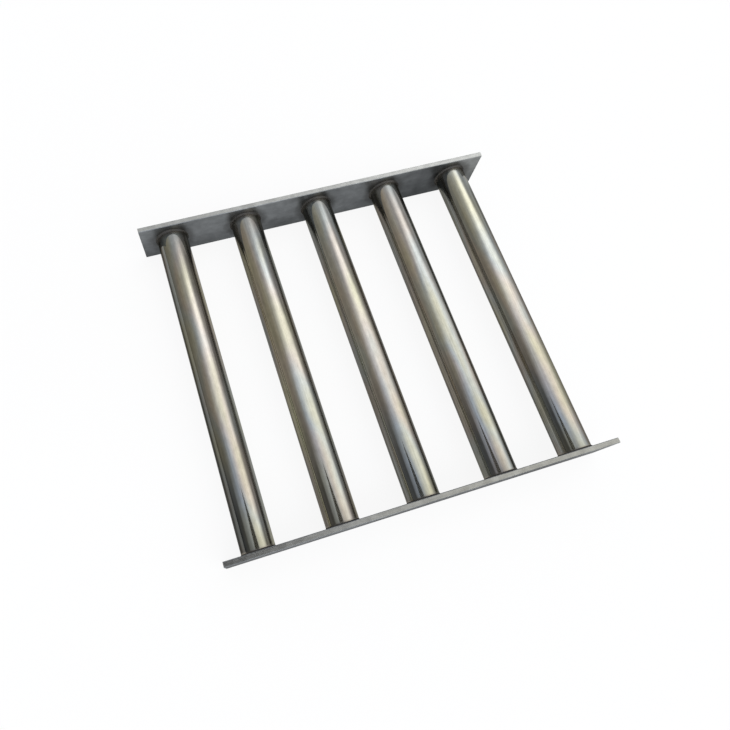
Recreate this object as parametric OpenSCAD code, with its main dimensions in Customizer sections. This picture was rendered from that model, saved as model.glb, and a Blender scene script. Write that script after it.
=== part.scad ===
// Magnetic grate: a row of magnetic tubes welded between two flat end plates.
// The frame is millimetres, +Z up. X runs along the plates and Y along the tubes.
// The origin is the middle of the footprint, on the level that the plates stand on.

/* [Grate] */
// Number of magnetic tubes in the row
tube_count = 5; // [2:1:6]
// Distance from one tube's axis to the next
tube_pitch = 62.5; // [50:0.5:80]
// Distance between the inner faces of the two end plates
tube_length = 260; // [200:1:400]

/* [End plates] */
// Thickness of the flat bar that an end plate is cut from
plate_thickness = 4; // [3:0.5:8]
// Height of plate that stands above and below a tube
plate_rim = 6.5; // [5:0.5:15]
// Distance from an outer tube's axis to the end of the plate
plate_end_margin = 25; // [20:0.5:50]
// Chamfer on the edges of the flat bar
plate_chamfer = 0.4; // [0.2:0.1:1]

/* [Tube sleeves] */
// Outside diameter of a tube
tube_diameter = 25; // [22:0.5:32]
// Wall of the tube
tube_wall = 1; // [0.6:0.1:2]
// Leg of the fillet weld between a tube and a plate
weld_leg = 1.2; // [0.8:0.1:3]

/* [Magnet core] */
// Length of the plug that closes each end of a tube
plug_length = 11; // [9:0.5:20]
// Thickness of a plug's closed outer end, behind the blind socket for the core rod
plug_floor = 5; // [3:0.5:6]
// Diameter of the core rod that the stack is threaded on
rod_diameter = 6; // [4:0.5:8]
// Number of ring magnets in a tube
magnet_count = 9; // [5:1:10]
// Thickness of a steel pole piece
pole_thickness = 4; // [2:0.5:6]
// Gap all round between the stack and the bore of its tube, and between the rod and its holes
core_gap = 0.1; // [0.05:0.05:0.3]

/* [Hidden] */
$fn = 96;
tube_radius = tube_diameter / 2;
bore_radius = tube_radius - tube_wall;
core_radius = bore_radius - core_gap;
rod_radius = rod_diameter / 2;
rod_hole_radius = rod_radius + core_gap;
plate_length = (tube_count - 1) * tube_pitch + 2 * plate_end_margin;
plate_height = tube_diameter + 2 * plate_rim;
axis_height = plate_height / 2;
plate_face = tube_length / 2;
stack_length = tube_length - 2 * plug_length;
magnet_length = (stack_length - (magnet_count + 1) * pole_thickness) / magnet_count;
stack_step = magnet_length + pole_thickness;
rod_length = tube_length - 2 * (plug_floor + core_gap);
// How far a cutting shape runs past the face it opens
cut_over = 1;

FAR = 1;
NEAR = -1;
SIDES = [FAR, NEAR];
TUBES = [1:tube_count];

function side_name(side) = side == FAR ? "far" : "near";
function name_at(piece, i, side) = str(piece, "_", i, "_", side_name(side));
function tube_x(i) = (i - (tube_count + 1) / 2) * tube_pitch;
// Corners of a width by height rectangle about its middle, with each corner cut off at 45 degrees
function chamfered(width, height, cut) = let (w = width / 2, h = height / 2) [
    [w - cut, -h], [w, -h + cut], [w, h - cut], [w - cut, h],
    [-w + cut, h], [-w, h - cut], [-w, -h + cut], [-w + cut, -h]
];

// Puts a shape that is built along +Z from its foot onto tube i's axis, with its foot at y,
// running along +Y for direction 1 and along -Y for direction -1
module on_axis(i, y, direction = 1) {
    translate([tube_x(i), y, axis_height])
        rotate([direction * -90, 0, 0])
            children();
}

// A ring that stands on its foot, with a hole through it
module ring(outer, inner, length) {
    difference() {
        cylinder(r = outer, h = length);
        translate([0, 0, -cut_over])
            cylinder(r = inner, h = length + 2 * cut_over);
    }
}

// Flat bar on edge, with its long edges broken
module end_plate(side) {
    color("lightslategray")
        translate([-plate_length / 2, side * (plate_face + plate_thickness / 2), axis_height])
            rotate([90, 0, 90])
                linear_extrude(height = plate_length)
                    polygon(chamfered(plate_thickness, plate_height, plate_chamfer));
}

// Thin polished tube that the material to be cleaned falls past
module tube_sleeve(i) {
    color("silver")
        on_axis(i, -plate_face)
            ring(tube_radius, bore_radius, tube_length);
}

// Turned plug, flush with the tube's end, with a blind socket for the core rod
module end_plug(i, side) {
    color("gray")
        on_axis(i, side * plate_face, -side)
            difference() {
                cylinder(r = core_radius, h = plug_length);
                translate([0, 0, plug_floor])
                    cylinder(r = rod_hole_radius, h = plug_length - plug_floor + cut_over);
            }
}

// Rod through the whole stack, held in the two plugs
module core_rod(i) {
    color("darkgray")
        on_axis(i, -rod_length / 2)
            cylinder(r = rod_radius, h = rod_length);
}

// Ring magnets, each between two pole pieces
module ring_magnets(i) {
    color("dimgray")
        for (m = [0:magnet_count - 1])
            on_axis(i, -stack_length / 2 + pole_thickness + m * stack_step)
                ring(core_radius, rod_hole_radius, magnet_length);
}

// Soft steel rings that carry the field out through the tube's wall
module pole_pieces(i) {
    color("slategray")
        for (m = [0:magnet_count])
            on_axis(i, -stack_length / 2 + m * stack_step)
                ring(core_radius, rod_hole_radius, pole_thickness);
}

// Fillet weld all round the tube, with a flat face between its two toes
module weld_bead(i, side) {
    color("rosybrown")
        on_axis(i, side * plate_face, -side)
            rotate_extrude()
                translate([tube_radius, 0])
                    polygon([[0, 0], [weld_leg, 0], [0, weld_leg]]);
}

for (side = SIDES)
    end_plate(side);

for (i = TUBES) {
    tube_sleeve(i);
    core_rod(i);
    ring_magnets(i);
    pole_pieces(i);
    for (side = SIDES) {
        end_plug(i, side);
        weld_bead(i, side);
    }
}
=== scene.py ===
"""Dresses the magnetic grate: polished tubes, satin end plates and heat-tinted welds in a plain studio."""

from __future__ import annotations

import logging
import math
import random
from dataclasses import dataclass, field
from enum import Enum

import bmesh
import bpy
from mathutils import Matrix, Vector


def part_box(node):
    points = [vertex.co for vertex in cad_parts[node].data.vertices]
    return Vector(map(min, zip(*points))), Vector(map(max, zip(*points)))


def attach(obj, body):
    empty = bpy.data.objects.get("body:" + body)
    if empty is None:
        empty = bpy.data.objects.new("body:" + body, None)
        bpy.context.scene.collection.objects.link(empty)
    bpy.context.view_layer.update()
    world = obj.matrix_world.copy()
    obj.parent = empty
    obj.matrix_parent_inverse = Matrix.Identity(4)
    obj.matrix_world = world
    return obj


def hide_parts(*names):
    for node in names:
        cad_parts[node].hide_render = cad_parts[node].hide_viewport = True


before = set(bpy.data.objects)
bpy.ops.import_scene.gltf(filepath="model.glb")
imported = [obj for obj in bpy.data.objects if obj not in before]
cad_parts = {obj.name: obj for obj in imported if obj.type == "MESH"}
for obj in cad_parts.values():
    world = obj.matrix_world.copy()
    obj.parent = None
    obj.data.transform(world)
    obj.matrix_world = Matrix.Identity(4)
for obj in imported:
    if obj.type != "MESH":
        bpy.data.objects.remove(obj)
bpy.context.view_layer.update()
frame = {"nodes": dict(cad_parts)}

LOG = logging.getLogger("magnetic_grate")
BODY = "root"
MM = 0.001
Colour = tuple[float, float, float]
Triple = tuple[float, float, float]
Span = tuple[float, float]
Stops = tuple[tuple[float, Colour], ...]
Socket = bpy.types.NodeSocket
Sockets = bpy.types.NodeOutputs
Shader = bpy.types.ShaderNode
# The gap between a plug and the bore of its tube
STACK_GAP = 0.1 * MM
# Where the far half of the grate takes over from the near half, along Y
MIDDLE: Span = (-10 * MM, 10 * MM)
# The places of the Mix node's sockets for colours
MIX_SHARE, MIX_FIRST, MIX_SECOND, MIX_RESULT = 0, 6, 7, 2


class Side(Enum):
    """The two end plates, by the sign of Y on their side of the grate."""

    FAR = 1
    NEAR = -1

    @property
    def word(self) -> str:
        """The word that node names use for this side."""
        return self.name.lower()


class SocketKind(Enum):
    """The kinds of socket that the shader groups have."""

    VALUE = "NodeSocketFloat"
    COLOUR = "NodeSocketColor"
    VECTOR = "NodeSocketVector"


@dataclass(frozen=True)
class GrateFrame:
    """The grate's main sizes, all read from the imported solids, in metres."""

    tube_count: int
    tube_radius: float
    bore_radius: float
    tube_pitch: float
    axis_height: float
    plate_face: float
    plate_height: float
    weld_leg: float

    @classmethod
    def read(cls, nodes: dict[str, bpy.types.Object]) -> "GrateFrame":
        """Reads the sizes from the boxes of the CAD nodes.

        Args:
            nodes: The CAD node objects by name.

        Returns:
            The sizes that the dressed pieces are built from.
        """
        count = sum(name.startswith("tube_sleeve_") for name in nodes)
        low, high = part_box("tube_sleeve_1")
        next_low, next_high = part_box("tube_sleeve_2")
        plug_low, plug_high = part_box("end_plug_1_far")
        weld_low, weld_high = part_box("weld_bead_1_far")
        plate_low, plate_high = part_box("end_plate_far")
        return cls(
            tube_count=count,
            tube_radius=(high.x - low.x) / 2,
            bore_radius=(plug_high.x - plug_low.x) / 2 + STACK_GAP,
            tube_pitch=(next_low.x + next_high.x - low.x - high.x) / 2,
            axis_height=(low.z + high.z) / 2,
            plate_face=high.y,
            plate_height=plate_high.z - plate_low.z,
            weld_leg=weld_high.y - weld_low.y,
        )

    def tube_x(self, number: int) -> float:
        """The X of a tube's axis, with tubes numbered from 1."""
        return (number - (self.tube_count + 1) / 2) * self.tube_pitch


@dataclass(frozen=True)
class Speckle:
    """One layer of noise, with its scale in features to a metre.

    Its stretch draws it out along the axis with the smallest factor.
    """

    scale: float
    detail: float
    rough: float = 0.5
    stretch: Triple = (1.0, 1.0, 1.0)


class NodeTree:
    """A thin layer over a shader node tree that makes nodes, links and sums in single calls."""

    def __init__(self, tree: bpy.types.ShaderNodeTree) -> None:
        """Keeps the tree that the nodes go into."""
        self.tree = tree

    def node(self, kind: str, **settings: object) -> Shader:
        """Makes one node.

        Args:
            kind: The node's type name.
            settings: Attributes to set on it.

        Returns:
            The new node.
        """
        made = self.tree.nodes.new(kind)
        for name, value in settings.items():
            setattr(made, name, value)
        return made

    def feed(self, socket: Socket, value: object) -> None:
        """Links a socket to another socket, or sets it to a plain value."""
        if isinstance(value, Socket):
            self.tree.links.new(value, socket)
        else:
            socket.default_value = value

    def math(self, operation: str, *values: object, clamp: bool = False) -> Socket:
        """One sum on numbers.

        Args:
            operation: The Math node's operation.
            values: Its inputs, each a socket or a number.
            clamp: Whether the result is held from 0 to 1.

        Returns:
            The result's socket.
        """
        made = self.node("ShaderNodeMath", operation=operation, use_clamp=clamp)
        for socket, value in zip(made.inputs, values):
            self.feed(socket, value)
        return made.outputs[0]

    def fade(self, value: object, start: object, end: object, kind: str = "SMOOTHSTEP") -> Socket:
        """A step from 0 to 1.

        Args:
            value: The value that is tested.
            start: Where the result is 0.
            end: Where the result is 1, which may be below start.
            kind: The Map Range node's interpolation.

        Returns:
            The socket of a value from 0 to 1.
        """
        made = self.node("ShaderNodeMapRange", interpolation_type=kind)
        self.feed(made.inputs["Value"], value)
        self.feed(made.inputs["From Min"], start)
        self.feed(made.inputs["From Max"], end)
        return made.outputs["Result"]

    def swing(self, value: Socket, low: float, high: float) -> Socket:
        """A value from 0 to 1 carried over to a span."""
        return self.math("MULTIPLY_ADD", value, high - low, low)

    def scale(self, colour: object, level: Socket) -> Socket:
        """A colour multiplied by a number."""
        made = self.node("ShaderNodeVectorMath", operation="SCALE")
        self.feed(made.inputs[0], colour if isinstance(colour, Socket) else colour[:3])
        self.feed(made.inputs["Scale"], level)
        return made.outputs[0]

    def mix(self, share: object, first: object, second: object, blend: str = "MIX") -> Socket:
        """Mixes two colours.

        Args:
            share: How much of the second colour shows.
            first: The first colour, as a socket or RGBA.
            second: The second colour, as a socket or RGBA.
            blend: The blend type.

        Returns:
            The mixed colour's socket.
        """
        made = self.node("ShaderNodeMix", data_type="RGBA", blend_type=blend)
        self.feed(made.inputs[MIX_SHARE], share)
        self.feed(made.inputs[MIX_FIRST], first)
        self.feed(made.inputs[MIX_SECOND], second)
        return made.outputs[MIX_RESULT]

    def noise(self, place: Socket, layer: Speckle, scale: Socket | None = None) -> Socket:
        """Noise from 0 to 1.

        Args:
            place: The coordinates' socket.
            layer: The noise's settings.
            scale: A socket that takes the place of the layer's own scale.

        Returns:
            The noise value's socket.
        """
        made = self.node("ShaderNodeTexNoise")
        self.feed(made.inputs["Vector"], self.stretch(place, layer.stretch))
        self.feed(made.inputs["Scale"], layer.scale if scale is None else scale)
        self.feed(made.inputs["Detail"], layer.detail)
        self.feed(made.inputs["Roughness"], layer.rough)
        return made.outputs["Fac"]

    def stretch(self, place: Socket, factors: Triple) -> Socket:
        """Coordinates multiplied axis by axis, which draws a pattern out along the smaller factor."""
        made = self.node("ShaderNodeVectorMath", operation="MULTIPLY")
        self.feed(made.inputs[0], place)
        self.feed(made.inputs[1], factors)
        return made.outputs[0]

    def ramp(self, value: Socket, stops: Stops) -> Socket:
        """Turns a value into a colour.

        Args:
            value: The value's socket, from 0 to 1.
            stops: Places and the colours there.

        Returns:
            The colour's socket.
        """
        made = self.node("ShaderNodeValToRGB")
        points = made.color_ramp.elements
        while len(points) < len(stops):
            points.new(1.0)
        for point, (place, colour) in zip(points, stops):
            point.position = place
            point.color = (*colour, 1.0)
        self.feed(made.inputs["Fac"], value)
        return made.outputs["Color"]


class ShaderGroup:
    """A shader node group with named sockets, made once and placed in several materials."""

    name: str = ""
    takes: dict[str, SocketKind] = {}
    gives: dict[str, SocketKind] = {}

    def __init__(self) -> None:
        """Makes the group's tree and its sockets, then fills it."""
        self.tree = bpy.data.node_groups.new(self.name, "ShaderNodeTree")
        for word, kind in self.takes.items():
            self.tree.interface.new_socket(word, in_out="INPUT", socket_type=kind.value)
        for word, kind in self.gives.items():
            self.tree.interface.new_socket(word, in_out="OUTPUT", socket_type=kind.value)
        nodes = NodeTree(self.tree)
        source = nodes.node("NodeGroupInput")
        sink = nodes.node("NodeGroupOutput")
        for word, value in self.fill(nodes, source.outputs).items():
            nodes.feed(sink.inputs[word], value)

    def fill(self, nodes: NodeTree, takes: Sockets) -> dict[str, Socket]:
        """Makes the group's own nodes.

        Args:
            nodes: The group's tree.
            takes: The group's input sockets.

        Returns:
            The socket that feeds each output.
        """
        raise NotImplementedError

    def place(self, nodes: NodeTree, **values: object) -> Sockets:
        """Places the group in a material.

        Args:
            nodes: The material's tree.
            values: What feeds each input, with underscores for spaces.

        Returns:
            The placed group's output sockets.
        """
        made = nodes.node("ShaderNodeGroup", node_tree=self.tree)
        for word, value in values.items():
            nodes.feed(made.inputs[word.replace("_", " ")], value)
        return made.outputs


class DrawnGrain(ShaderGroup):
    """Fine lines that drawing, rolling or brushing leaves along a bar, with a slow cloudiness."""

    name = "drawn_grain"
    takes = {"Place": SocketKind.VECTOR, "Line Scale": SocketKind.VALUE, "Cloud Scale": SocketKind.VALUE}
    gives = {"Lines": SocketKind.VALUE, "Bands": SocketKind.VALUE, "Clouds": SocketKind.VALUE}
    line_layer: Speckle = Speckle(1.0, 3.0, 0.65)
    band_layer: Speckle = Speckle(1.0, 1.0, 0.4)
    cloud_layer: Speckle = Speckle(1.0, 3.0, 0.55)
    band_share: float = 0.12

    def fill(self, nodes: NodeTree, takes: Sockets) -> dict[str, Socket]:
        """Two layers of drawn-out noise and one of plain noise. See ShaderGroup.fill."""
        place = takes["Place"]
        band_scale = nodes.math("MULTIPLY", takes["Line Scale"], self.band_share)
        return {
            "Lines": nodes.noise(place, self.line_layer, takes["Line Scale"]),
            "Bands": nodes.noise(place, self.band_layer, band_scale),
            "Clouds": nodes.noise(place, self.cloud_layer, takes["Cloud Scale"]),
        }


class HeatTint(ShaderGroup):
    """The oxide colours beside a weld: bronze at the toe, then a greyer bronze and straw."""

    name = "heat_tint"
    takes = {"Distance": SocketKind.VALUE, "Reach": SocketKind.VALUE, "Place": SocketKind.VECTOR}
    gives = {"Colour": SocketKind.COLOUR, "Mask": SocketKind.VALUE}
    uneven: Speckle = Speckle(240.0, 2.0)
    front: Span = (0.65, 1.35)
    mask: Span = (1.0, 0.12)
    stops: Stops = (
        (0.00, (0.300, 0.270, 0.225)),
        (0.25, (0.315, 0.282, 0.235)),
        (0.50, (0.330, 0.300, 0.250)),
        (0.75, (0.310, 0.298, 0.280)),
        (1.00, (0.380, 0.370, 0.325)),
    )

    def fill(self, nodes: NodeTree, takes: Sockets) -> dict[str, Socket]:
        """A ramp over the distance from the weld, with an uneven front. See ShaderGroup.fill."""
        front = nodes.swing(nodes.noise(takes["Place"], self.uneven), *self.front)
        share = nodes.math("DIVIDE", takes["Distance"], nodes.math("MULTIPLY", takes["Reach"], front))
        return {"Colour": nodes.ramp(share, self.stops), "Mask": nodes.fade(share, *self.mask)}


@dataclass
class ShaderKit:
    """The shader groups that the finishes share."""

    grain: DrawnGrain = field(default_factory=DrawnGrain)
    tint: HeatTint = field(default_factory=HeatTint)


class Finish:
    """A procedural material: each kind of finish fills its own tree."""

    name: str = ""
    edge: Colour = (1.0, 1.0, 1.0)
    bump_depth: float = 0.0

    def make(self, sizes: GrateFrame, kit: ShaderKit) -> bpy.types.Material:
        """Makes the material.

        Args:
            sizes: The grate's sizes.
            kit: The shared shader groups.

        Returns:
            The finished material.
        """
        material = bpy.data.materials.new(self.name)
        material.use_nodes = True
        nodes = NodeTree(material.node_tree)
        shader = material.node_tree.nodes["Principled BSDF"]
        self.fill(nodes, shader, sizes, kit)
        return material

    def fill(self, nodes: NodeTree, shader: Shader, sizes: GrateFrame, kit: ShaderKit) -> None:
        """Fills the tree round the shader.

        Args:
            nodes: The material's tree.
            shader: Its Principled BSDF.
            sizes: The grate's sizes.
            kit: The shared shader groups.
        """
        raise NotImplementedError

    @staticmethod
    def place(nodes: NodeTree) -> tuple[Socket, Sockets, Sockets]:
        """The point in the grate's frame.

        Args:
            nodes: The material's tree.

        Returns:
            The point, its X, Y and Z, and the normal's X, Y and Z.
        """
        coordinates = nodes.node("ShaderNodeTexCoord")
        point = nodes.node("ShaderNodeSeparateXYZ")
        nodes.feed(point.inputs[0], coordinates.outputs["Object"])
        normal = nodes.node("ShaderNodeSeparateXYZ")
        nodes.feed(normal.inputs[0], coordinates.outputs["Normal"])
        return coordinates.outputs["Object"], point.outputs, normal.outputs

    def coat(self, nodes: NodeTree, shader: Shader, colour: Socket, rough: Socket, height: Socket) -> None:
        """Feeds the shader of a bare metal.

        Args:
            nodes: The material's tree.
            shader: Its Principled BSDF.
            colour: The metal's colour.
            rough: Its roughness.
            height: The height of its bumps, from 0 to 1.
        """
        bump = nodes.node("ShaderNodeBump")
        nodes.feed(bump.inputs["Height"], height)
        nodes.feed(bump.inputs["Distance"], self.bump_depth)
        inputs = {
            "Base Color": colour, "Roughness": rough, "Metallic": 1.0,
            "Specular Tint": (*self.edge, 1.0), "Normal": bump.outputs["Normal"],
        }
        for word, value in inputs.items():
            nodes.feed(shader.inputs[word], value)


@dataclass(frozen=True)
class PolishedTube(Finish):
    """Polished stainless tube: warm grey, drawn lengthwise, rougher on its flanks, which also carry a
    painted dark reflection, and tinted at its ends.
    """

    name: str = "polished_tube"
    bright: Colour = (0.430, 0.421, 0.366)
    # Painted dark reflection: the colour of the flanks, in place of the bright top colour
    side: Colour = (0.180, 0.173, 0.149)
    edge: Colour = (0.45, 0.45, 0.44)
    drawn: Triple = (1.0, 0.012, 1.0)
    line_scale: float = 1000.0
    line_depth: Span = (0.55, 2.25)
    line_middle: float = 0.5
    streak_span: Span = (0.70, 1.30)
    mottle: Speckle = Speckle(420.0, 3.0, 0.7, (1.0, 0.4, 1.0))
    mottle_span: Span = (0.75, 1.25)
    film: Speckle = Speckle(55.0, 1.0, stretch=(1.0, 0.25, 1.0))
    film_stops: Stops = (
        (0.30, (1.000, 0.980, 0.840)),
        (0.43, (1.000, 0.930, 0.935)),
        (0.55, (0.910, 0.968, 1.045)),
        (0.70, (1.000, 0.985, 0.860)),
    )
    # Where the painted dark reflection on the flanks starts and ends, in degrees round the tube, and how
    # far from the far plate it starts on the right
    left_fade_deg: Span = (-50, -64)
    right_fade_deg: Span = (20, 37)
    right_clear_deg: Span = (72, 50)
    side_clear: Span = (14 * MM, 30 * MM)
    # Painted dark reflection on the first tube's outer flank: where it starts across the tube, and its
    # factors at the near and far ends
    outer_reflection_fade: Span = (-6.5 * MM, -9.2 * MM)
    outer_reflection_near: float = 0.30
    outer_reflection_far: float = 0.56
    toe_share: float = 0.5
    far_reach: float = 5 * MM
    near_reach: float = 2 * MM
    rough_span: Span = (0.045, 0.125)
    side_rough: float = 0.16
    tint_rough: float = 0.20
    bump_depth: float = 0.010 * MM

    def fill(self, nodes: NodeTree, shader: Shader, sizes: GrateFrame, kit: ShaderKit) -> None:
        """See Finish.fill."""
        point, xyz, normal = self.place(nodes)
        grain = kit.grain.place(nodes, Place=nodes.stretch(point, self.drawn), Line_Scale=self.line_scale)
        from_far = nodes.math("SUBTRACT", sizes.plate_face, xyz["Y"])
        painted_flank_share = self.painted_flank_share(nodes, normal, from_far)
        body = self.metal(nodes, point, grain, painted_flank_share)
        # Painted dark reflection along the first tube's outer flank
        body = nodes.scale(body, self.painted_outer_reflection(nodes, xyz, sizes))
        from_plate = nodes.math("SUBTRACT", sizes.plate_face, nodes.math("ABSOLUTE", xyz["Y"]))
        from_toe = nodes.math("SUBTRACT", from_plate, sizes.weld_leg * self.toe_share)
        reach = nodes.swing(nodes.fade(xyz["Y"], *MIDDLE), self.near_reach, self.far_reach)
        tint = kit.tint.place(nodes, Distance=from_toe, Reach=reach, Place=point)
        colour = nodes.mix(tint["Mask"], body, tint["Colour"])
        rough = nodes.swing(grain["Lines"], *self.rough_span)
        rough = nodes.math("MULTIPLY_ADD", tint["Mask"], self.tint_rough, rough)
        rough = nodes.math("MULTIPLY_ADD", painted_flank_share, self.side_rough, rough)
        self.coat(nodes, shader, colour, rough, grain["Bands"])

    def painted_flank_share(self, nodes: NodeTree, normal: Sockets, from_far: Socket) -> Socket:
        """How far the painted dark reflection and the extra roughness of a tube's flanks have taken over.

        Args:
            nodes: The material's tree.
            normal: The normal's X, Y and Z.
            from_far: The distance from the far plate.

        Returns:
            A socket that is 0 on the polished top and 1 on the flanks.
        """
        angle = nodes.math("DEGREES", nodes.math("ARCTAN2", normal["X"], normal["Z"]))
        right = nodes.math(
            "MULTIPLY", nodes.fade(angle, *self.right_fade_deg), nodes.fade(angle, *self.right_clear_deg)
        )
        right = nodes.math("MULTIPLY", right, nodes.fade(from_far, *self.side_clear))
        return nodes.math("MAXIMUM", nodes.fade(angle, *self.left_fade_deg), right)

    def metal(self, nodes: NodeTree, point: Socket, grain: Sockets, painted_flank_share: Socket) -> Socket:
        """The tube's colour, with the painted dark reflection on its flanks, a thin film, streaks, mottling
        and drawn lines.

        Args:
            nodes: The material's tree.
            point: The point in the grate's frame.
            grain: The placed grain's outputs.
            painted_flank_share: How far the painted dark reflection on the flanks has taken over.

        Returns:
            The colour's socket.
        """
        # Painted dark reflection: the flanks take the dark colour in place of the bright one
        body = nodes.mix(painted_flank_share, (*self.bright, 1.0), (*self.side, 1.0))
        film = nodes.ramp(nodes.noise(point, self.film), self.film_stops)
        body = nodes.mix(1.0, body, film, "MULTIPLY")
        body = nodes.scale(body, nodes.swing(grain["Bands"], *self.streak_span))
        body = nodes.scale(body, nodes.swing(nodes.noise(point, self.mottle), *self.mottle_span))
        # The drawn lines are struck deeper where the painted flank reflection lies
        depth = nodes.swing(painted_flank_share, *self.line_depth)
        line = nodes.math("SUBTRACT", grain["Lines"], self.line_middle)
        return nodes.scale(body, nodes.math("MULTIPLY_ADD", line, depth, 1.0))

    def painted_outer_reflection(self, nodes: NodeTree, xyz: Sockets, sizes: GrateFrame) -> Socket:
        """Painted dark reflection on the outer flank of the first tube, strongest at its near end.

        Args:
            nodes: The material's tree.
            xyz: The point's X, Y and Z.
            sizes: The grate's sizes.

        Returns:
            The factor's socket.
        """
        outer_share = nodes.fade(nodes.math("SUBTRACT", xyz["X"], sizes.tube_x(1)), *self.outer_reflection_fade)
        along = nodes.fade(xyz["Y"], -sizes.plate_face, sizes.plate_face, "LINEAR")
        loss = nodes.swing(along, self.outer_reflection_near - 1.0, self.outer_reflection_far - 1.0)
        return nodes.math("MULTIPLY_ADD", outer_share, loss, 1.0)


@dataclass(frozen=True)
class SatinPlate(Finish):
    """Rolled flat bar: smudged grey satin faces with painted shade towards their foot, bright cut edges
    painted lighter on the far bar than on the near, and dark heat marks round the welds.
    """

    name: str = "plate_steel"
    face: Colour = (0.162, 0.171, 0.177)
    # A lighter face colour towards the bar's right end, and where it takes over along X
    right_end_face: Colour = (0.215, 0.222, 0.220)
    right_end_from: Span = (108 * MM, 146 * MM)
    # Painted shade: the faces darken towards their foot
    foot_shade_span: Span = (0.72, 1.22)
    # A darker patch over one bay of the faces: how much darker, its middle along X, and its reach
    bay_darkening: float = 0.28
    dark_bay_x: float = 94 * MM
    dark_bay_reach: Span = (34 * MM, 14 * MM)
    smudge: Speckle = Speckle(64.0, 4.0, 0.62, (0.30, 1.0, 0.8))
    smudge_span: Span = (0.50, 1.50)
    # Painted light: the far bar's cut edges are lit brighter than the near bar's
    far_cut_lit: Colour = (0.445, 0.446, 0.414)
    near_cut_shaded: Colour = (0.388, 0.388, 0.362)
    cut_normal: Span = (0.62, 0.22)
    cut_polish: float = 0.15
    edge: Colour = (0.30, 0.30, 0.30)
    rolled: Triple = (0.03, 1.0, 1.0)
    line_scale: float = 2200.0
    line_span: Span = (0.80, 1.20)
    mottle: Speckle = Speckle(130.0, 4.0, 0.6)
    mottle_span: Span = (0.60, 1.40)
    scorch: Colour = (0.62, 0.61, 0.60)
    toe_share: float = 0.8
    tint_reach: float = 8 * MM
    inner_depth: float = 1 * MM
    rough_span: Span = (0.32, 0.48)
    bump_depth: float = 0.02 * MM

    def fill(self, nodes: NodeTree, shader: Shader, sizes: GrateFrame, kit: ShaderKit) -> None:
        """See Finish.fill."""
        point, xyz, normal = self.place(nodes)
        grain = kit.grain.place(nodes, Place=nodes.stretch(point, self.rolled), Line_Scale=self.line_scale)
        mottle = nodes.noise(point, self.mottle)
        cut_share = nodes.fade(nodes.math("ABSOLUTE", normal["Y"]), *self.cut_normal)
        # Painted light: the cut edges take a lighter colour on the far bar than on the near one
        cut = nodes.mix(nodes.fade(xyz["Y"], *MIDDLE), (*self.near_cut_shaded, 1.0), (*self.far_cut_lit, 1.0))
        body = nodes.mix(cut_share, self.face_colour(nodes, point, xyz, sizes), cut)
        lines = nodes.swing(grain["Lines"], *self.line_span)
        body = nodes.scale(body, nodes.math("MULTIPLY", nodes.swing(mottle, *self.mottle_span), lines))
        tint = kit.tint.place(
            nodes, Distance=self.from_toe(nodes, xyz, sizes), Reach=self.tint_reach, Place=point
        )
        from_middle = nodes.math("ABSOLUTE", xyz["Y"])
        inner = nodes.fade(from_middle, sizes.plate_face + self.inner_depth, sizes.plate_face)
        welded = nodes.math("MULTIPLY", tint["Mask"], inner)
        dulled = nodes.mix(1.0, body, (*self.scorch, 1.0), "MULTIPLY")
        colour = nodes.mix(welded, body, dulled)
        rough = nodes.swing(mottle, *self.rough_span)
        rough = nodes.math("MULTIPLY_ADD", cut_share, -self.cut_polish, rough)
        self.coat(nodes, shader, colour, rough, grain["Lines"])

    def face_colour(self, nodes: NodeTree, point: Socket, xyz: Sockets, sizes: GrateFrame) -> Socket:
        """The colour of the broad faces: smudged, lighter towards the right end, with painted shade that
        darkens them towards the foot, and darker over one bay.

        Args:
            nodes: The material's tree.
            point: The point in the grate's frame.
            xyz: Its X, Y and Z.
            sizes: The grate's sizes.

        Returns:
            The colour's socket.
        """
        right_end_share = nodes.fade(xyz["X"], *self.right_end_from)
        face = nodes.mix(right_end_share, (*self.face, 1.0), (*self.right_end_face, 1.0))
        face = nodes.scale(face, nodes.swing(nodes.noise(point, self.smudge), *self.smudge_span))
        # Painted shade: the faces darken towards their foot
        height = nodes.fade(xyz["Z"], 0.0, sizes.plate_height, "LINEAR")
        face = nodes.scale(face, nodes.swing(height, *self.foot_shade_span))
        from_patch = nodes.math("ABSOLUTE", nodes.math("SUBTRACT", xyz["X"], self.dark_bay_x))
        patch = nodes.fade(from_patch, *self.dark_bay_reach)
        return nodes.scale(face, nodes.swing(patch, 1.0, 1.0 - self.bay_darkening))

    def from_toe(self, nodes: NodeTree, xyz: Sockets, sizes: GrateFrame) -> Socket:
        """The distance over the plate from the toe of the nearest weld.

        Args:
            nodes: The material's tree.
            xyz: The point's X, Y and Z.
            sizes: The grate's sizes.

        Returns:
            The distance's socket.
        """
        across = nodes.math("PINGPONG", xyz["X"], sizes.tube_pitch / 2)
        above = nodes.math("SUBTRACT", xyz["Z"], sizes.axis_height)
        squares = [nodes.math("MULTIPLY", way, way) for way in (across, above)]
        from_axis = nodes.math("SQRT", nodes.math("ADD", *squares))
        return nodes.math("SUBTRACT", from_axis, sizes.tube_radius + sizes.weld_leg * self.toe_share)


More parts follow.
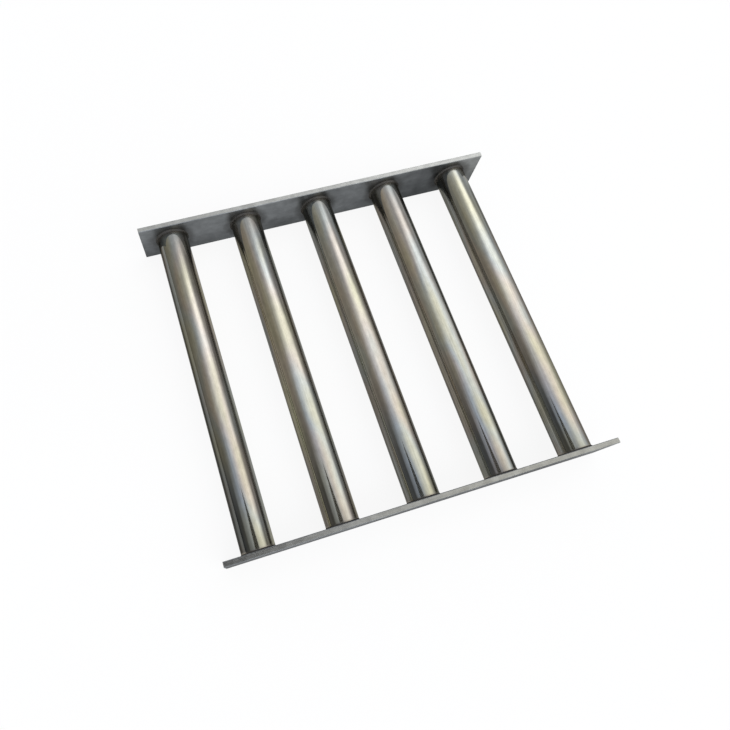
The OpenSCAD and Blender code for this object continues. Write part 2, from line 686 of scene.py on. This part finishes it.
@dataclass(frozen=True)
class WeldMetal(Finish):
    """Weld bead as it was laid, with oxide colours over the ripples."""

    name: str = "weld_steel"
    patch: Speckle = Speckle(180.0, 3.0, 0.6)
    oxide_stops: Stops = (
        (0.30, (0.060, 0.059, 0.058)),
        (0.45, (0.072, 0.068, 0.062)),
        (0.60, (0.080, 0.078, 0.075)),
        (0.75, (0.070, 0.072, 0.076)),
    )
    edge: Colour = (0.18, 0.18, 0.18)
    rough_span: Span = (0.43, 0.68)
    speck: Speckle = Speckle(2600.0, 2.0)
    bump_depth: float = 0.03 * MM

    def fill(self, nodes: NodeTree, shader: Shader, sizes: GrateFrame, kit: ShaderKit) -> None:
        """See Finish.fill."""
        point, _, _ = self.place(nodes)
        patch = nodes.noise(point, self.patch)
        colour = nodes.ramp(patch, self.oxide_stops)
        rough = nodes.swing(patch, *self.rough_span)
        self.coat(nodes, shader, colour, rough, nodes.noise(point, self.speck))


@dataclass(frozen=True)
class TurnedSteel(Finish):
    """Steel or plated magnet inside the tubes, with fine turning marks."""

    name: str = "turned_steel"
    metal: Colour = (0.5, 0.5, 0.5)
    roughness: float = 0.35
    rough_swing: float = 0.1
    turned: Triple = (0.05, 1.0, 0.05)
    line_scale: float = 3000.0
    cloud_scale: float = 400.0
    cloud_span: Span = (0.82, 1.17)
    bump_depth: float = 0.01 * MM

    def fill(self, nodes: NodeTree, shader: Shader, sizes: GrateFrame, kit: ShaderKit) -> None:
        """See Finish.fill."""
        point, _, _ = self.place(nodes)
        grain = kit.grain.place(
            nodes, Place=nodes.stretch(point, self.turned),
            Line_Scale=self.line_scale, Cloud_Scale=self.cloud_scale,
        )
        body = nodes.scale(self.metal, nodes.swing(grain["Clouds"], *self.cloud_span))
        ends = (self.roughness - self.rough_swing, self.roughness + self.rough_swing)
        self.coat(nodes, shader, body, nodes.swing(grain["Lines"], *ends), grain["Lines"])


# The finish of each hidden piece, by the start of its node's name
STACK_FINISHES: dict[str, TurnedSteel] = {
    "end_plug": TurnedSteel(name="plug_steel", metal=(0.55, 0.55, 0.55), roughness=0.32),
    "core_rod": TurnedSteel(name="rod_steel", metal=(0.60, 0.60, 0.61), roughness=0.28),
    "pole_pieces": TurnedSteel(name="pole_steel", metal=(0.40, 0.40, 0.41), roughness=0.38),
    "ring_magnets": TurnedSteel(name="magnet", metal=(0.48, 0.47, 0.45), roughness=0.22),
}


class MeshPiece:
    """Makes a mesh object and ties it to the frame."""

    @staticmethod
    def from_rings(name: str, rings: list[list[Vector]], closed: bool) -> bpy.types.Object:
        """Skins a row of equal rings.

        Args:
            name: The object's name.
            rings: The rings, each a closed loop of points.
            closed: Whether the last ring joins on to the first.

        Returns:
            The new object, smooth and with its normals outward.
        """
        mesh = bpy.data.meshes.new(name)
        made = bmesh.new()
        rows = [[made.verts.new(point) for point in ring] for ring in rings]
        pairs = list(zip(rows, rows[1:] + rows[:1])) if closed else list(zip(rows, rows[1:]))
        for first, second in pairs:
            count = len(first)
            for i in range(count):
                j = (i + 1) % count
                made.faces.new((first[i], first[j], second[j], second[i]))
        bmesh.ops.recalc_face_normals(made, faces=made.faces)
        for face in made.faces:
            face.smooth = True
        made.to_mesh(mesh)
        made.free()
        piece = bpy.data.objects.new(name, mesh)
        bpy.context.scene.collection.objects.link(piece)
        return piece

    @staticmethod
    def fit(piece: bpy.types.Object, node: str, slot: str, material: bpy.types.Material) -> None:
        """Puts a finished piece in the place of a CAD node.

        Args:
            piece: The piece.
            node: The CAD node that it stands for.
            slot: Not used.
            material: Its finish.
        """
        piece.data.materials.append(material)
        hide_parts(node)
        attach(piece, BODY)


@dataclass
class EndPlates:
    """The two flat bars that the tubes are welded between."""

    nodes: dict[str, bpy.types.Object]
    edge_radius: float = 0.12 * MM
    edge_steps: int = 2

    def dress(self, material: bpy.types.Material) -> None:
        """Breaks the bars' edges a little and gives them their finish.

        Args:
            material: The satin finish.
        """
        for side in Side:
            bar = self.nodes[f"end_plate_{side.word}"]
            bevel = bar.modifiers.new("broken_edges", "BEVEL")
            bevel.width = self.edge_radius
            bevel.segments = self.edge_steps
            bevel.limit_method = "ANGLE"
            set_material(bar, material)
            LOG.info("dressed %s", bar.name)


@dataclass
class TubeRow:
    """The row of tubes: their polished sleeves and the magnet stacks inside them."""

    sizes: GrateFrame
    nodes: dict[str, bpy.types.Object]
    round_steps: int = 192
    length_steps: int = 26
    sharp_deg: float = 40

    def build(self, material: bpy.types.Material) -> None:
        """Builds a finely divided sleeve for each tube.

        Args:
            material: The polished finish.
        """
        for number in range(1, self.sizes.tube_count + 1):
            name = f"tube_sleeve_{number}"
            piece = MeshPiece.from_rings(f"polished_sleeve_{number}", self.rings(number), True)
            piece.data.set_sharp_from_angle(angle=math.radians(self.sharp_deg))
            MeshPiece.fit(piece, name, "polished_tube", material)
            LOG.info("built %s", piece.name)

    def rings(self, number: int) -> list[list[Vector]]:
        """The rings of one sleeve, along its outside and back through its bore.

        Args:
            number: The tube's number.

        Returns:
            The rings in order.
        """
        size = self.sizes
        steps = range(self.length_steps + 1)
        along = [size.plate_face * (2 * step / self.length_steps - 1) for step in steps]
        outside = [self.ring(number, size.tube_radius, y) for y in along]
        bore = [self.ring(number, size.bore_radius, y) for y in (size.plate_face, -size.plate_face)]
        return outside + bore

    def ring(self, number: int, radius: float, y: float) -> list[Vector]:
        """One ring of points round a tube's axis."""
        size = self.sizes
        turns = [2 * math.pi * step / self.round_steps for step in range(self.round_steps)]
        x = size.tube_x(number)
        z = size.axis_height
        return [Vector((x + radius * math.sin(turn), y, z + radius * math.cos(turn))) for turn in turns]

    def dress_stacks(self, finishes: dict[str, bpy.types.Material]) -> None:
        """Gives each hidden piece its finish.

        Args:
            finishes: The finish for each start of a node's name.
        """
        for start, material in finishes.items():
            for name in sorted(self.nodes):
                if name.startswith(start):
                    set_material(self.nodes[name], material)
            LOG.info("dressed %s", start)


@dataclass(frozen=True)
class Wave:
    """A slow wave round a weld: how often it comes in a turn, and its height."""

    count: int
    height: float


@dataclass
class WeldBeads:
    """The fillet welds round both ends of each tube, with the ripples that they were laid in."""

    sizes: GrateFrame
    ripples: int = 60
    ripple_steps: int = 8
    face_steps: int = 10
    ripple_height: float = 0.10 * MM
    ripple_level: float = 0.6
    ripple_lag: float = 0.55
    toe_ripple: float = 0.35
    hollow: float = 0.12 * MM
    leg_waves: tuple[Wave, ...] = (Wave(2, 0.07), Wave(5, 0.05))
    drift_waves: tuple[Wave, ...] = (Wave(3, 0.35), Wave(7, 0.25))
    # Each bead draws this many phases, and its waves use the first four
    phase_count: int = 6
    seed: int = 11
    sharp_deg: float = 60

    def build(self, material: bpy.types.Material) -> None:
        """Builds each bead.

        Args:
            material: The weld metal.
        """
        chance = random.Random(self.seed)
        for number in range(1, self.sizes.tube_count + 1):
            for side in Side:
                phases = [chance.uniform(0, 2 * math.pi) for _ in range(self.phase_count)]
                name = f"weld_bead_{number}_{side.word}"
                rings = self.rings(number, side, phases)
                piece = MeshPiece.from_rings(f"rippled_weld_{number}_{side.word}", rings, True)
                piece.data.set_sharp_from_angle(angle=math.radians(self.sharp_deg))
                MeshPiece.fit(piece, name, "weld_steel", material)
                LOG.info("built %s", piece.name)

    def rings(self, number: int, side: Side, phases: list[float]) -> list[list[Vector]]:
        """The sections of one bead, in order round the tube.

        Args:
            number: The tube's number.
            side: The plate that it is on.
            phases: Where this bead's slow waves start.

        Returns:
            The sections, each a closed loop.
        """
        count = self.ripples * self.ripple_steps
        return [self.section(number, side, phases, 2 * math.pi * step / count) for step in range(count)]

    def section(self, number: int, side: Side, phases: list[float], turn: float) -> list[Vector]:
        """One section through a bead: its corner, then its face from the plate's toe to the tube's toe.

        Args:
            number: The tube's number.
            side: The plate that it is on.
            phases: Where this bead's slow waves start.
            turn: The angle round the tube.

        Returns:
            The section's points.
        """
        size = self.sizes
        leg = size.weld_leg * (1 + self.sway(self.leg_waves, phases, turn))
        drift = self.sway(self.drift_waves, phases[len(self.leg_waves):], turn)
        points = [(0.0, 0.0)]
        for step in range(self.face_steps + 1):
            share = step / self.face_steps
            crown = math.sin(math.pi * share)
            cycle = (self.ripples * turn / (2 * math.pi) + drift - self.ripple_lag * crown) % 1.0
            arch = math.sqrt(max(0.0, 1 - (2 * cycle - 1) ** 2))
            lift = self.ripple_height * (arch - self.ripple_level)
            lift *= self.toe_ripple + (1 - self.toe_ripple) * crown
            rise = (lift - self.hollow * crown) / math.sqrt(2)
            out = max(0.0, leg * (1 - share) + rise)
            back = max(0.0, leg * share + rise)
            points.append((out, back))
        return [self.place(number, side, turn, out, back) for out, back in points]

    @staticmethod
    def sway(waves: tuple[Wave, ...], phases: list[float], turn: float) -> float:
        """The sum of slow waves at an angle round the tube, each from its own phase."""
        return sum(wave.height * math.sin(wave.count * turn + phase) for wave, phase in zip(waves, phases))

    def place(self, number: int, side: Side, turn: float, out: float, back: float) -> Vector:
        """A point of a bead, so far out from the tube and so far back from the plate."""
        size = self.sizes
        radius = size.tube_radius + out
        x = size.tube_x(number) + radius * math.sin(turn)
        z = size.axis_height + radius * math.cos(turn)
        return Vector((x, side.value * (size.plate_face - back), z))


class Tone(Enum):
    """The colours of the light in the room."""

    WHITE = (0.99, 1.00, 1.045)
    CREAM = (1.00, 0.970, 0.87)
    PALE = (0.86, 0.965, 1.26)
    WARM = (1.00, 0.95, 0.84)
    GREY = (0.98, 1.00, 1.06)
    COOL = (0.93, 1.00, 1.17)

    @property
    def colour(self) -> tuple[float, float, float, float]:
        """This tone as RGBA."""
        return (*self.value, 1.0)


@dataclass(frozen=True)
class CeilingSection:
    """The bright ceiling in one plane across the tubes, in degrees from straight up, towards +X.

    Its lean says how far that plane leans along the tubes, as the Y of a unit vector.
    """

    lean: float
    left: float
    left_full: float
    right_full: float
    right: float
    level: float


@dataclass(frozen=True)
class Room:
    """The soft light of the room: a bright ceiling right of the tubes, grey walls and a cool window."""

    sections: tuple[CeilingSection, ...] = (
        CeilingSection(lean=0.09, left=-62, left_full=44, right_full=46, right=80, level=1.08),
        CeilingSection(lean=0.28, left=-41, left_full=33, right_full=36, right=106, level=1.20),
        CeilingSection(lean=0.455, left=-11, left_full=28, right_full=29, right=53, level=1.65),
    )
    ceiling_end: Span = (0.465, 0.560)
    ceiling_dip: Span = (0.10, -0.06)
    ceiling_back: Span = (-0.16, -0.36)
    back_share: float = 1.1
    end_lean: Span = (0.60, 0.76)
    end_level: float = 0.95
    wall_lean: Span = (0.10, 0.28)
    wall_near: float = 0.10
    wall_near_right: float = 0.80
    wall_left: float = 0.24
    wall_top: float = 0.63
    wall_right: float = 0.55
    wall_turns: Triple = (-80, -5, 70)
    wall_foot: float = 0.17
    wall_near_foot: float = 0.02
    foot_turns: Span = (62, 88)
    warm_turns: Span = (-5, -50)
    cream_turns: Span = (-25, 30)
    window_edges: tuple[float, float, float, float] = (-56, -46, -20, 0)
    window_lean: Span = (0.20, 0.11)
    window_level: float = 0.20

    def build(self) -> None:
        """Makes the world that holds the light."""
        world = bpy.data.worlds.new("room")
        world.use_nodes = True
        nodes = NodeTree(world.node_tree)
        way = nodes.node("ShaderNodeSeparateXYZ")
        nodes.feed(way.inputs[0], nodes.node("ShaderNodeTexCoord").outputs["Generated"])
        lean = way.outputs["Y"]
        turn = nodes.math("DEGREES", nodes.math("ARCTAN2", way.outputs["X"], way.outputs["Z"]))
        light = self.wall(nodes, turn, lean)
        for part in (self.ceiling(nodes, turn, lean), self.window(nodes, turn, lean)):
            light = nodes.mix(1.0, light, part, "ADD")
        nodes.feed(world.node_tree.nodes["Background"].inputs["Color"], light)
        bpy.context.scene.world = world
        LOG.info("lit the room")

    def ceiling(self, nodes: NodeTree, turn: Socket, lean: Socket) -> Socket:
        """The bright ceiling, which is broad overhead and narrows towards the far end.

        Args:
            nodes: The world's tree.
            turn: The angle round the tubes, in degrees.
            lean: The share of the direction that runs along the tubes.

        Returns:
            The light's socket.
        """
        edges = {}
        for name in ("left", "left_full", "right_full", "right", "level"):
            edges[name] = self.along(nodes, lean, name)
        light = nodes.math("MULTIPLY", edges["level"], nodes.fade(turn, edges["left"], edges["left_full"]))
        light = nodes.math("MULTIPLY", light, nodes.fade(turn, edges["right"], edges["right_full"]))
        light = nodes.math("MULTIPLY", light, nodes.fade(lean, *reversed(self.ceiling_end), "LINEAR"))
        overhead = nodes.fade(lean, *reversed(self.ceiling_dip))
        behind = nodes.math("MULTIPLY", nodes.fade(lean, *self.ceiling_back), self.back_share)
        light = nodes.math("MULTIPLY", light, nodes.math("MAXIMUM", overhead, behind))
        near_tone = nodes.mix(nodes.fade(turn, *self.cream_turns), Tone.PALE.colour, Tone.CREAM.colour)
        far_share = nodes.fade(lean, self.sections[0].lean, self.sections[-1].lean)
        return nodes.scale(nodes.mix(far_share, near_tone, Tone.WHITE.colour), light)

    def along(self, nodes: NodeTree, lean: Socket, name: str) -> Socket:
        """One of the ceiling's sizes at a lean, drawn straight from section to section.

        Args:
            nodes: The world's tree.
            lean: The lean.
            name: The size's name.

        Returns:
            The size's socket.
        """
        size = getattr(self.sections[0], name)
        for last, section in zip(self.sections, self.sections[1:]):
            share = nodes.fade(lean, last.lean, section.lean, "LINEAR")
            step = getattr(section, name) - getattr(last, name)
            size = nodes.math("MULTIPLY_ADD", share, step, size)
        return size

    def wall(self, nodes: NodeTree, turn: Socket, lean: Socket) -> Socket:
        """The walls: warm on the far left, darker towards the near end, and pale past both ends.

        Args:
            nodes: The world's tree.
            turn: The angle round the tubes, in degrees.
            lean: The share of the direction that runs along the tubes.

        Returns:
            The light's socket.
        """
        left, top, right = self.wall_turns
        rise = nodes.fade(turn, left, top, "LINEAR")
        fall = nodes.fade(turn, top, right, "LINEAR")
        foot = nodes.fade(nodes.math("ABSOLUTE", turn), *self.foot_turns)
        far_level = nodes.swing(rise, self.wall_left, self.wall_top)
        far_level = nodes.math("MULTIPLY_ADD", fall, self.wall_right - self.wall_top, far_level)
        far_level = nodes.math("MULTIPLY_ADD", foot, self.wall_foot, far_level)
        near_level = nodes.swing(fall, self.wall_near, self.wall_near_right)
        near_level = nodes.math("MULTIPLY_ADD", foot, self.wall_near_foot, near_level)
        far_share = nodes.fade(lean, *self.wall_lean, "LINEAR")
        gain = nodes.math("SUBTRACT", far_level, near_level)
        level = nodes.math("MULTIPLY_ADD", far_share, gain, near_level)
        far_end = nodes.fade(lean, *self.end_lean)
        end_share = nodes.math("MAXIMUM", far_end, nodes.fade(lean, *self.ceiling_back))
        end_gain = nodes.math("SUBTRACT", self.end_level, level)
        level = nodes.math("MULTIPLY_ADD", end_share, end_gain, level)
        warm_share = nodes.math("MULTIPLY", far_share, nodes.fade(turn, *self.warm_turns))
        warm_share = nodes.math("MULTIPLY", warm_share, nodes.math("SUBTRACT", 1.0, end_share))
        return nodes.scale(nodes.mix(warm_share, Tone.GREY.colour, Tone.WARM.colour), level)

    def window(self, nodes: NodeTree, turn: Socket, lean: Socket) -> Socket:
        """The cool light left of the ceiling, which only the near end of the tubes mirrors.

        Args:
            nodes: The world's tree.
            turn: The angle round the tubes, in degrees.
            lean: The share of the direction that runs along the tubes.

        Returns:
            The light's socket.
        """
        left, left_full, right_full, right = self.window_edges
        light = nodes.fade(turn, left, left_full)
        light = nodes.math("MULTIPLY", light, nodes.fade(turn, right, right_full))
        light = nodes.math("MULTIPLY", light, nodes.fade(lean, *self.window_lean, "LINEAR"))
        light = nodes.math("MULTIPLY", light, nodes.fade(lean, *reversed(self.ceiling_dip)))
        return nodes.scale(Tone.COOL.colour, nodes.math("MULTIPLY", light, self.window_level))


@dataclass(frozen=True)
class LampArm:
    """A dark tapering lamp arm overhead, out of the picture, which the near ends of the tubes mirror."""

    tip: Triple = (-0.150, -0.020, 0.49)
    length: float = 0.12
    tip_radius: float = 0.009
    root_radius: float = 0.150
    grey: float = 0.10
    roughness: float = 0.8
    steps: int = 24

    def build(self) -> None:
        """Hangs the arm along the tubes, unseen by the camera itself."""
        mesh = bpy.data.meshes.new("lamp_arm")
        made = bmesh.new()
        lie_down = Matrix.Rotation(math.radians(-90), 4, "X")
        bmesh.ops.create_cone(
            made, cap_ends=True, segments=self.steps, radius1=self.root_radius, radius2=self.tip_radius,
            depth=self.length, matrix=lie_down,
        )
        made.to_mesh(mesh)
        made.free()
        arm = bpy.data.objects.new("lamp_arm", mesh)
        arm.location = Vector(self.tip) - Vector((0.0, self.length / 2, 0.0))
        arm.visible_camera = False
        bpy.context.scene.collection.objects.link(arm)
        paint = bpy.data.materials.new("lamp_arm")
        paint.use_nodes = True
        shader = paint.node_tree.nodes["Principled BSDF"]
        shader.inputs["Base Color"].default_value = (self.grey, self.grey, self.grey, 1.0)
        shader.inputs["Roughness"].default_value = self.roughness
        mesh.materials.append(paint)
        LOG.info("hung the lamp arm")


@dataclass(frozen=True)
class Floor:
    """The plain white floor, which keeps the grate's shadow."""

    radius: float = 6.0
    colour: Colour = (0.92, 0.92, 0.92)
    lift: float = 0.89
    white: float = 1.01
    drop: float = 0.05 * MM
    steps: int = 96

    def build(self) -> None:
        """Lays a round floor just under the grate."""
        mesh = bpy.data.meshes.new("floor")
        made = bmesh.new()
        bmesh.ops.create_circle(made, cap_ends=True, segments=self.steps, radius=self.radius)
        made.to_mesh(mesh)
        made.free()
        floor = bpy.data.objects.new("floor", mesh)
        floor.location.z = -self.drop
        bpy.context.scene.collection.objects.link(floor)
        mesh.materials.append(self.finish())
        LOG.info("laid the floor")

    def finish(self) -> bpy.types.Material:
        """White that is lifted alike for the camera, for mirrors and through glass.

        Returns:
            The floor's material.
        """
        material = bpy.data.materials.new("floor")
        material.use_nodes = True
        tree = material.node_tree
        tree.nodes.clear()
        nodes = NodeTree(tree)
        path = nodes.node("ShaderNodeLightPath").outputs
        seen = nodes.math("MAXIMUM", path["Is Camera Ray"], path["Is Glossy Ray"])
        seen = nodes.math("MAXIMUM", seen, path["Is Transmission Ray"])
        matt = nodes.node("ShaderNodeBsdfDiffuse")
        nodes.feed(matt.inputs["Color"], (*self.colour, 1.0))
        white = nodes.node("ShaderNodeEmission")
        nodes.feed(white.inputs["Strength"], self.white)
        blend = nodes.node("ShaderNodeMixShader")
        nodes.feed(blend.inputs[0], nodes.math("MULTIPLY", seen, self.lift))
        nodes.feed(blend.inputs[1], matt.outputs[0])
        nodes.feed(blend.inputs[2], white.outputs[0])
        out = nodes.node("ShaderNodeOutputMaterial")
        nodes.feed(out.inputs["Surface"], blend.outputs[0])
        return material


@dataclass(frozen=True)
class PhotoCamera:
    """The camera, above the near plate and to the left, looking down along the tubes."""

    place: Triple = (-0.12956, -0.14663, 0.44633)
    target: Triple = (-0.06288, -0.01426, 0.019)
    roll_deg: float = -10.221
    lens_mm: float = 28.890
    sensor_mm: float = 36.0
    shift: Span = (0.0958, 0.0175)
    clip_start: float = 0.01

    def build(self) -> None:
        """Makes the camera and gives it to the scene."""
        data = bpy.data.cameras.new("camera")
        data.lens = self.lens_mm
        data.sensor_width = self.sensor_mm
        data.shift_x, data.shift_y = self.shift
        data.clip_start = self.clip_start
        camera = bpy.data.objects.new("camera", data)
        sight = Vector(self.target) - Vector(self.place)
        level = sight.to_track_quat("-Z", "Y").to_matrix().to_4x4()
        turn = Matrix.Rotation(-math.radians(self.roll_deg), 4, "Z")
        camera.matrix_world = Matrix.Translation(Vector(self.place)) @ level @ turn
        bpy.context.scene.collection.objects.link(camera)
        bpy.context.scene.camera = camera


def set_material(piece: bpy.types.Object, material: bpy.types.Material) -> None:
    """Gives a CAD node one material in all its slots.

    Args:
        piece: The CAD node's object.
        material: The finish.
    """
    if not piece.material_slots:
        piece.data.materials.append(material)
    for slot in piece.material_slots:
        slot.material = material


def main() -> None:
    """Builds the grate's dressed pieces, then the studio and the camera."""
    logging.basicConfig(level=logging.INFO, format="%(name)s: %(message)s")
    bpy.context.scene.view_settings.view_transform = "Standard"
    nodes = frame["nodes"]
    sizes = GrateFrame.read(nodes)
    kit = ShaderKit()
    EndPlates(nodes).dress(SatinPlate().make(sizes, kit))
    tubes = TubeRow(sizes, nodes)
    tubes.build(PolishedTube().make(sizes, kit))
    tubes.dress_stacks({start: finish.make(sizes, kit) for start, finish in STACK_FINISHES.items()})
    WeldBeads(sizes).build(WeldMetal().make(sizes, kit))
    Floor().build()
    Room().build()
    LampArm().build()
    PhotoCamera().build()


if __name__ == "__main__":
    main()
